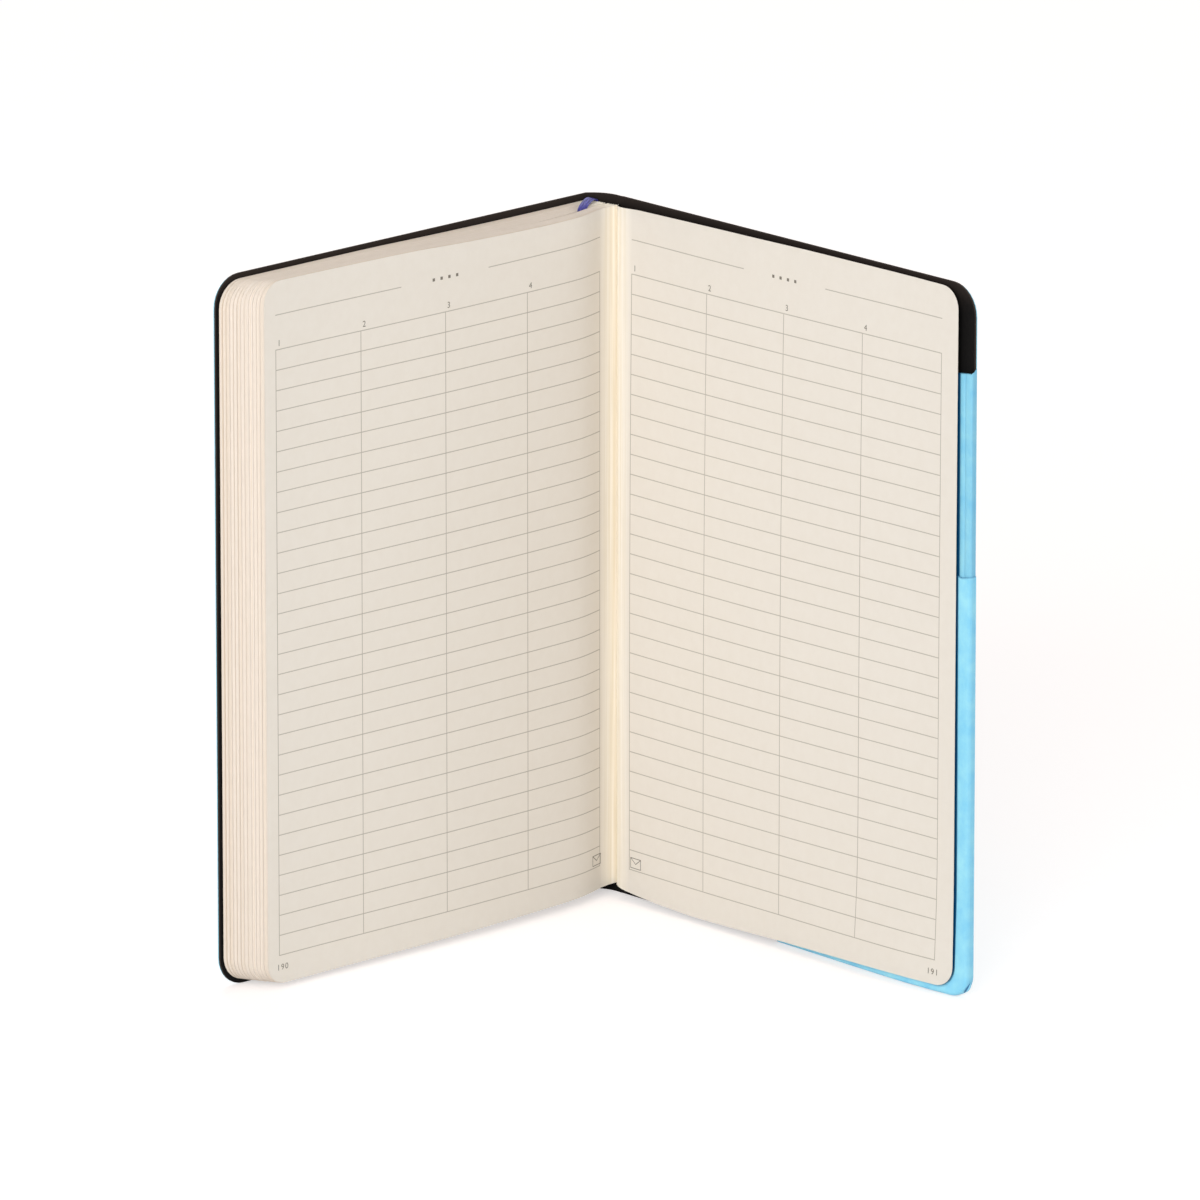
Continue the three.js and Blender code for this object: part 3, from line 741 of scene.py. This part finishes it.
envelope = strokes([
    ((0, 0), (4.4, 0)), ((4.4, 0), (4.4, 3)), ((4.4, 3), (0, 3)), ((0, 3), (0, 0)),
    ((0, 3), (2.2, 1.3)), ((2.2, 1.3), (4.4, 3))], 0.22)
heading_dots = strokes([((x, 0), (x + 0.01, 0)) for x in (-4.5, -1.5, 1.5, 4.5)], 0.9)
number_up, columns_up, envelope_up, column_margin, ink_proud = 5.5, 190.0, 10.6, 0.6, 0.03 * MM
for page_number, line, way, shifted, narrow, number_out, columns_out, envelope_out in (
    (190, left_lines[1], -1, 0, 1, 136.9, table_to, 11.4),
    (191, right_lines[1], 1, print_shift, print_narrow[0], 133.1, table_from, 8.0),
):
    marks = [
        (figures(str(page_number), 1.75), number_out, number_up),
        *((figures(str(k + 1), 1.8), columns_out + way * (k * column_width + column_margin), columns_up)
          for k in range(columns)),
        (envelope, envelope_out, envelope_up),
        (heading_dots, (table_from + table_to) / 2, heading_height)]
    points, triangles, used = [], [], 0
    for (flat, faces), out, up in marks:
        at = (shifted + narrow * (out + way * flat[:, 0])) * MM
        plan = follow(line, at, np.full(len(at), -ink_proud * way))
        spots = np.column_stack([plan, (up + flat[:, 1]) * MM])
        points.append(spread(spots) if page_number == 191 else spots)
        triangles.append(faces + used)
        used += len(flat)
    mesh = bpy.data.meshes.new("print_%d" % page_number)
    mesh.from_pydata(np.concatenate(points), [], np.concatenate(triangles).tolist())
    mesh.materials.append(ink)
    marks_piece = bpy.data.objects.new("printed_marks_%d" % page_number, mesh)
    bpy.context.scene.collection.objects.link(marks_piece)
    if page_number == 191:
        on_last_leaf(marks_piece)
    else:
        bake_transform(marks_piece)


# Binding. Open cotton gauze glued down the backs of the signatures, and the waxed linen thread that
# sews them, a run at each of five stations.
# Mull gauze: plain open weave about 1 mm from thread to thread, stiff with glue.
gauze, tree, shader = finish_of("cotton_mull_gauze")
place = add(tree, "TexCoord").outputs["Object"]
turned = add(tree, "Mapping", {"Vector": place, "Rotation": (0, 0, spine_turn)})
axes = add(tree, "SeparateXYZ", {0: turned})
warp = add(tree, "Math", {0: axes, 1: 0.5 * MM}, operation="PINGPONG")
weft = add(tree, "Math", {0: axes.outputs[2], 1: 0.5 * MM}, operation="PINGPONG")
thread_gap = add(tree, "Math", {0: warp, 1: weft}, operation="MINIMUM")
mesh_look = add(tree, "MapRange", {0: thread_gap, 1: 0.12 * MM, 2: 0.3 * MM})
base = add(tree, "Mix", {
    0: mesh_look, 6: linear("#efece3"), 7: linear("#bdb5a2")}, data_type="RGBA")
relief = add(tree, "Bump", {
    "Height": mesh_look, "Strength": 0.6, "Distance": 0.1 * MM}, invert=True)
plug(tree, shader, {"Base Color": base.outputs[2], "Roughness": 0.92, "Normal": relief})
carry_over(("spine_gauze",), gauze)

# Waxed linen thread: two plies twisted at about 1 mm to the turn, with the dull shine of wax.
linen, tree, shader = finish_of("waxed_linen_thread")
place = add(tree, "TexCoord").outputs["Object"]
lean = add(tree, "Mapping", {"Vector": place, "Rotation": (0.6, 0.5, spine_turn)})
plies = add(tree, "TexWave", {
    "Vector": lean, "Scale": 1 / (6 * MM), "Distortion": 0.5}, bands_direction="X")
base = add(tree, "Mix", {
    0: plies.outputs["Fac"], 6: linear("#d5cdb8"), 7: linear("#f1ecdd")}, data_type="RGBA")
relief = add(tree, "Bump", {
    "Height": plies.outputs["Fac"], "Strength": 0.5, "Distance": 0.08 * MM})
plug(tree, shader, {"Base Color": base.outputs[2], "Roughness": 0.6, "Normal": relief})
carry_over(["sewing_thread_%d" % number for number in range(1, 6)], linen)


# Ribbon marker. A violet-blue satin ribbon, glued behind the block's back, turns over the head of the
# block, where it is pinched and ripples, and goes down between two signatures.
ribbon_width, ribbon_thick = 4.8 * MM, 0.16 * MM
ribbon_along, ribbon_in, ribbon_depth = 2.5 * MM, 10.3 * MM, 149 * MM
pinched = 0.55
ribbon_glued = 25 * MM
slot_middle = ribbon_slot_after * signature_share + slot_share / 2
slot_line = stack_route(slot_middle)
glued_inward = 0.39 * MM
over = np.linspace(0, 1, 25)
sides = np.linspace(-1, 1, 21)
ribbon_grid = []
for width_share in sides:
    half = width_share * ribbon_width / 2
    glued_spot = on_spine(ribbon_along + pinched * half, glued_inward) + plan_origin
    slot_spot = follow(slot_line, ribbon_in - half)
    # It stands up more on the side of the front cover: rise * sqrt(sin), over the sunken head there.
    rise = (1.25 - 0.45 * width_share + 0.14 * math.sin(9 * width_share)) * MM
    lift = page_top - (0.75 + 0.35 * over) * MM + rise * np.sin(math.pi * over)**0.5
    bridge = np.column_stack([glued_spot + (slot_spot - glued_spot) * over[:, None], lift])
    below = raised(slot_spot[None], page_top - ribbon_depth * np.linspace(0, 1, 12)[None, 1:])[0]
    behind = raised(glued_spot[None], page_top - ribbon_glued * np.array([[1, 0.6, 0.2]]))[0]
    ribbon_grid.append(np.concatenate([behind, bridge, below]))
ribbon_grid = np.stack(ribbon_grid, 1)
ribbon_step = np.linalg.norm(np.diff(ribbon_grid[:, len(sides) // 2], axis=0), axis=1)
ribbon_at = np.r_[0, np.cumsum(ribbon_step)]
ribbon_page = np.stack(np.broadcast_arrays(ribbon_at[:, None], sides * ribbon_width / 2), -1)
along_ribbon = np.gradient(ribbon_grid, axis=0)
across_ribbon = np.gradient(ribbon_grid, axis=1)
ribbon_normal = np.cross(along_ribbon, across_ribbon)
ribbon_normal /= np.linalg.norm(ribbon_normal, axis=-1, keepdims=True)

# Polyester satin: long warp floats run along the ribbon, 0.2 mm apart, crossed by stitch points, so it
# shines along its length; its colour has lighter streaks along it, painted sheen; a fine cord edge lies
# along each side.
satin, tree, shader = finish_of("violet_blue_satin_ribbon")
ribbon_place = add(tree, "UVMap", uv_map="page")
ribbon_axes = add(tree, "SeparateXYZ", {0: ribbon_place})
floats = add(tree, "Math", {0: ribbon_axes.outputs[1], 1: 0.1 * MM}, operation="PINGPONG")
streaks = add(tree, "Mapping", {"Vector": ribbon_place, "Scale": (0.12, 1, 1)})
painted_sheen_streaks = add(tree, "TexNoise", {"Vector": streaks, "Scale": 1 / (0.3 * MM), "Detail": 3.0})
# Painted sheen: the colour runs from dark violet to lighter violet in streaks along the ribbon.
base = add(tree, "ValToRGB", {0: painted_sheen_streaks}, (
    (0.4, "#231f66"), (0.64, "#5853c2")))
relief = add(tree, "Bump", {"Height": floats, "Strength": 0.5, "Distance": 0.2})
plug(tree, shader, {
    "Base Color": base, "Roughness": 0.3, "Normal": relief,
    "Sheen Weight": 0.05, "Anisotropic": 0.5})
ribbon = piece("satin_ribbon_marker", [slab([
    ribbon_grid - ribbon_normal * ribbon_thick / 2, ribbon_grid + ribbon_normal * ribbon_thick / 2],
    ribbon_page)], satin, sharp=60)
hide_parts("ribbon_marker")
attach(ribbon, "text_block")


# Pocket. A document pocket of light blue paper on the back cover's lining: a back panel, gussets folded
# inward at the sides and foot, and a lower front panel whose outer side and foot go round the edge.
pocket_from, pocket_to, pocket_foot = 67 * MM, 144.7 * MM, 0.3 * MM
pocket_back_top, pocket_front_top = 185 * MM, 125 * MM
pocket_corner = 8.7 * MM
lining_line = plan_line([back_hinge - [inner_face, 0], back_hinge - [inner_face, 150 * MM]])

# Laminated coloured paper: smooth, with a soft sheen and faint fibre clouds. Low tone is painted shade,
# dark blue: in its creases, in the pages' shadow beside their edge, on its outer wall, at its mouth and
# round the corner pleat.
pocket_paper, tree, shader = finish_of("light_blue_pocket_paper")
place = add(tree, "TexCoord").outputs["Object"]
clouds = add(tree, "TexNoise", {
    "Vector": place, "Scale": 1 / (6 * MM), "Detail": 5.0, "Roughness": 0.6})
base = add(tree, "ValToRGB", {0: clouds}, ((0.3, "#7fcff0"), (0.7, "#9de2f4")))
painted_shade_tone = add(tree, "Attribute", attribute_name="tone")
painted_shade_share = add(tree, "MapRange", {0: painted_shade_tone.outputs["Fac"], 1: 0.5, 2: 0.0})
# Painted shade: low tone mixes in dark blue.
shade = add(tree, "Mix", {0: painted_shade_share, 6: base, 7: linear("#045a90")}, data_type="RGBA")
fine = add(tree, "TexNoise", {"Vector": place, "Scale": 1 / (0.4 * MM), "Detail": 3.0})
relief = add(tree, "Bump", {"Height": fine, "Strength": 0.12, "Distance": 0.03 * MM})
gloss = add(tree, "MapRange", {0: clouds, 3: 0.38, 4: 0.5})
plug(tree, shader, {
    "Base Color": shade.outputs[2], "Roughness": gloss, "Normal": relief})


panel_steps = np.linspace(pocket_from, pocket_to - pocket_corner - 3 * MM, 12)
panel_outline = rounded(
    0, pocket_to, pocket_corner, pocket_foot, pocket_back_top - 2 * MM, 0, panel_steps, high_round=False)
back_panel = piece("pocket_back_panel", [slab([
    standing(lining_line, panel_outline, -off, np.linspace(0, 1, 12)) for off in (0.02 * MM, 0.33 * MM)
])], pocket_paper)
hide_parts("pocket_back")


gusset_thick, gusset_tone, gusset_crease = 0.12 * MM, 0.43, 142.35


def strip(path, foot, head, crease=None):
    """A gusset on its edge: path is (out, off) pairs along it, foot and head its heights at each, and its
    tone is darker near the crease, so many mm out from the hinge: painted shade in the crease."""
    line = plan_line(by_lining(path[:, 0], path[:, 1], 0)[:, :2] - plan_origin)
    outline = line[1], foot, head
    points, quads, pages, tones = slab([
        standing(line, outline, off, np.linspace(0, 1, 4)) for off in (0, gusset_thick)])
    if crease is not None:
        # Painted shade: a dark line along the crease.
        tones = np.where(np.abs(off_lining(points)[0] - crease) < 0.15, 0.34, tones)
    return points, quads, pages, tones


def arc(out, off, radius, from_turn, to_turn, steps=8):
    """(out, off) pairs along an arc round such a place, from one turn to another in degrees."""
    turn = np.radians(np.linspace(from_turn, to_turn, steps))
    return np.column_stack([out + radius * np.cos(turn), off + radius * np.sin(turn)])


fold_near, fold_far = 0.45 * MM, 1.35 * MM


def gusset_fold(start, inner, end, start_steps=6, end_steps=6):
    """Section of a gusset folded in half, as (out, off) pairs: near the lining from its start to the
    fold, half a circle round it, and back to its end, places in mm."""
    return np.concatenate([
        np.column_stack([np.linspace(start, inner, start_steps) * MM, np.full(start_steps, fold_near)]),
        arc(inner * MM, (fold_near + fold_far) / 2, (fold_far - fold_near) / 2, 270, 90)[1:-1],
        np.column_stack([np.linspace(inner, end, end_steps) * MM, np.full(end_steps, fold_far)]),
    ])


valley_depth = 0.55 * MM


def valley(one_slab, plain, mouth=None):
    """One slab with a shallow valley beside the pages' edge, painted dark blue at its bottom as the pages'
    shadow: it is flat for 1.45 mm, from behind the pages' rounded outline to just past it, and then rises
    as
    1 - exp(-(d / 0.55 mm)^2) with the distance d, twice as fast round the corner. Elsewhere the tone is
    the plain one, darker on the outermost wall and at the mouth: painted shade where the wall turns away
    from the light and below the mouth's edge."""
    points, quads, pages, tones = one_slab
    out, off, up = off_lining(points)
    edge, corner = np.interp(up, [0, 185], [139.8, 139.3]), 6.5  # of the pages, whose foot is 2.3 mm up
    past = np.hypot(np.maximum(out - edge + corner, 0), np.maximum(2.3 + corner - up, 0)) - corner
    wide = np.interp(up, [6, 30], [0.5, 1])
    rise = np.maximum(past - 0.25 * wide, 0) / (0.55 * wide)
    deep = np.exp(-rise**2 - (np.minimum(past + 1.2, 0) / 0.4)**2)
    deep *= np.interp(up, [2, 9], [0.4, 1]) * np.clip((out - edge + 9) / 4, 0, 1)
    points = points + np.outer(valley_depth * deep * (off > 1), [1, 0, 0])
    # Painted shade: the outermost wall darker, and a thin dark line along the mouth's edge.
    tones = np.minimum(tones, plain) - np.interp(out, [144.3, 145.0], [0, 0.1])
    if mouth is not None:
        tones = np.where((up > mouth(out) - 0.1) & (out > edge), 0.2, tones)
    # Painted shadow of the pages: dark blue at the valley's bottom.
    return points, quads, pages, np.minimum(tones, 0.5 - 0.5 * deep * (off > 0.3))


outer_path = np.concatenate([
    gusset_fold(143.8, 135.2, 142.1, 8, 26),
    np.array([[gusset_crease, 1.22], [142.6, 1.35], [143.4, 1.35], [144.2, 1.35]]) * MM,
    arc(144.45 * MM, 0.75 * MM, 0.6 * MM, 90, 0),
    np.column_stack([np.full(4, 145.05 * MM), np.linspace(0.5, -0.55, 4) * MM]),
])
# Its foot is cut to a quarter circle that ends 145.2 mm out.
outer_corner = pocket_corner + 0.4 * MM
past_corner = np.clip(outer_path[:, 0] - 145.2 * MM + outer_corner, 0, outer_corner)
outer_foot = pocket_foot + outer_corner - np.sqrt(outer_corner**2 - past_corner**2)
# Its head rises a little towards the edge, and further down its outermost wall, in a small fillet.
outer_head = pocket_back_top + np.interp(
    outer_path[:, 0] / MM, [135, 143.4, 144.7, 145.05], [-1.4, -0.45, -0.3, 0.2]) * MM
outer_head += np.clip(0.5 * MM - outer_path[:, 1], 0, 1 * MM) * (outer_path[:, 0] > 145 * MM)
outer_gusset = piece("pocket_outer_gusset_fold", [valley(strip(
    outer_path, outer_foot, outer_head, gusset_crease), gusset_tone)], pocket_paper)
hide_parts("pocket_outer_gusset")

inner_path = gusset_fold(76.5, 67.9, 76.5)
inner_gusset = piece("pocket_inner_gusset_fold", [strip(
    inner_path, np.full(len(inner_path), pocket_foot),
    np.full(len(inner_path), pocket_front_top - 0.4 * MM))], pocket_paper)
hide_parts("pocket_inner_gusset")

# The foot gusset is the same fold laid along the foot: its section, up and off the lining, is carried
# from one side gusset to the other.
foot_section = gusset_fold(9.8, 1.2, 9.8)
section_slope = np.gradient(foot_section, axis=0)
section_slope /= np.linalg.norm(section_slope, axis=1)[:, None]
foot_inner = foot_section + gusset_thick * np.column_stack([section_slope[:, 1], -section_slope[:, 0]])
foot_run = np.linspace(77.5, 134.5, 8) * MM
foot_grids = [
    by_lining(foot_run[:, None], section[:, 1], section[:, 0]) for section in (foot_section, foot_inner)]
foot_gusset = piece("pocket_foot_gusset_fold", [slab(foot_grids)], pocket_paper)
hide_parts("pocket_foot_gusset")


# Front panel of the pocket: one sheet whose outer side, corner and foot are rolled over the gussets and
# down the cover's edge, so its rim is round; its mouth stays open at the top.
front_steps = np.r_[np.linspace(67, 122, 10), np.linspace(126, 136.8, 10)] * MM
front_shares = np.r_[
    np.linspace(0, 0.12, 38), np.linspace(0.14, 0.3, 6), np.linspace(0.4, 0.9, 6), 0.996, 1]
lip_end, lip_foot, lip_corner = 145.35 * MM, -0.05 * MM, 7.2 * MM
panel_off, panel_thick, lip_round = 1.86 * MM, 0.25 * MM, 1.15 * MM
lip_behind = 0.5 * MM  # the rim reaches this far behind the lining's face


def front_mouth(out):
    """Height in mm of the panel's mouth, which dips a little and rises again towards the edge."""
    return pocket_front_top / MM + np.interp(out, [139, 142, 145.35], [0, -0.35, 0.4])


def front_grid(inset, off):
    """Grid of the front panel drawn in by inset at its outer side and foot, and standing off the lining."""
    at, low, high = rounded(
        0, lip_end, lip_corner, lip_foot, 0, inset, front_steps, high_round=False, turns=37)
    high = front_mouth(at / MM) * MM
    return spread(standing(lining_line, (at, low, high), -off, front_shares))


rolls = np.linspace(0, math.pi / 2, 7)
face_inset, inner_round = lip_round + 0.5 * MM, lip_round - panel_thick
outer_layers = [front_grid(face_inset, panel_off)] + [
    front_grid(lip_round * (1 - math.sin(t)), panel_off - lip_round * (1 - math.cos(t))) for t in rolls
] + [front_grid(0, -lip_behind)]
inner_layers = [front_grid(panel_thick, -lip_behind)] + [
    front_grid(lip_round - inner_round * math.sin(t), panel_off - lip_round + inner_round * math.cos(t))
    for t in rolls[::-1]
] + [front_grid(face_inset, panel_off - panel_thick)]


def lipped(outer, inner):
    """A closed sheet with a rolled rim on its foot and far side: the first outer and last inner grids are
    its faces, the low and far borders of all grids in order are its rim, and its mouth is capped."""
    n, m = outer[0].shape[:2]
    index = np.arange(n * m).reshape(n, m)
    points, _, rings, quads = stacked(outer + inner, np.concatenate([index[:, 0], index[-1, 1:]]))
    count, last = len(rings), len(points) - n * m
    for a, b in zip(rings, rings[1:]):
        quads.append(np.stack([a[1:], a[:-1], b[:-1], b[1:]], -1))
    head, side = index[:, -1], index[0]
    quads.append(np.stack([head[:-1], head[1:], head[1:] + last, head[:-1] + last], -1))
    quads.append(np.stack([side[1:], side[:-1], side[:-1] + last, side[1:] + last], -1)[:, ::-1])
    for k in range(count // 2 - 1):
        a, b, c, d = rings[k], rings[k + 1], rings[count - 2 - k], rings[count - 1 - k]
        quads.append(np.array([[a[-1], b[-1], c[-1], d[-1]]]))
        quads.append(np.array([[b[0], a[0], d[0], c[0]]]))
    quads = np.concatenate(quads)
    return points, quads, np.zeros((len(points), 2)), np.full(len(points), 0.5)


front_panel = piece("pocket_front_panel", [
    valley(lipped(outer_layers, inner_layers), 0.5, front_mouth)], pocket_paper)
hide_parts("pocket_front")

# Where the panel's rim turns the corner, its surplus paper lies in one small pleat, shaped like a lens.
# It is proud * sin(pi s) * (1 - a^2) high at the share s of its length and at a, from -1 to 1, across.
lens_middle, lens_half = 0.35 * MM, 0.95 * MM
lens_proud, lens_lining, lens_clear = 0.45 * MM, 0.02 * MM, 0.06 * MM
lens_turn = np.radians(np.linspace(36, 74, 17))[:, None]
lens_across = np.linspace(-1, 1, 17)[None]
lens_along = np.sin(math.pi * np.linspace(0, 1, 17))[:, None]
lens_off = lens_middle + lens_half * lens_along * lens_across
lens_grids = []
for proud in (lens_proud, lens_lining):
    radius = lip_corner + proud * lens_along * (1 - lens_across**2) + lens_clear
    lens_grids.append(spread(by_lining(
        lip_end - lip_corner + radius * np.sin(lens_turn), lens_off,
        lip_foot + lip_corner - radius * np.cos(lens_turn))))
points, quads, pages, _ = slab(lens_grids)
# Painted shade: the pleat's outline is dark blue (low tone), for the small grooves beside it.
tones = np.tile(np.where(np.abs(lens_across) > 0.6, 0.05, 0.5), (2 * len(lens_turn), 1)).ravel()
pleat = piece("pocket_corner_pleat", [(points, quads, pages, tones)], pocket_paper)
for made in (back_panel, outer_gusset, inner_gusset, foot_gusset, front_panel, pleat):
    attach(made, "back_cover")
